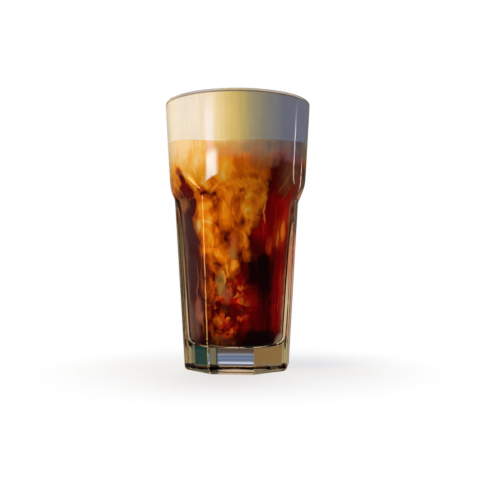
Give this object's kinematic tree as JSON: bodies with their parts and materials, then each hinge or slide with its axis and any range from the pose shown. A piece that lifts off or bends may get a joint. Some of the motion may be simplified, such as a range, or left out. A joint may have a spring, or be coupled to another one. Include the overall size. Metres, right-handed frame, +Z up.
{
  "type": "cold brew coffee",
  "caption": "Tall panelled glass tumbler filled with cold brew coffee, cream swirling down through it from a thick pale foam layer on top.",
  "frame": {"origin": "middle of the foot, on the surface that the glass stands on", "axes": "+Z up along the glass, the front of the drink faces -Y"},
  "size_m": [0.0858, 0.0858, 0.157],
  "materials": {
    "glass": "clear pressed glass, polished",
    "coffee": "dark red-brown liquid with amber cream clouds",
    "cream": "smooth fine foam, pale cream"
  },
  "bodies": {
    "root": {"glass": "glass", "coffee": "coffee", "cream_foam": "cream"}
  },
  "joints": []
}
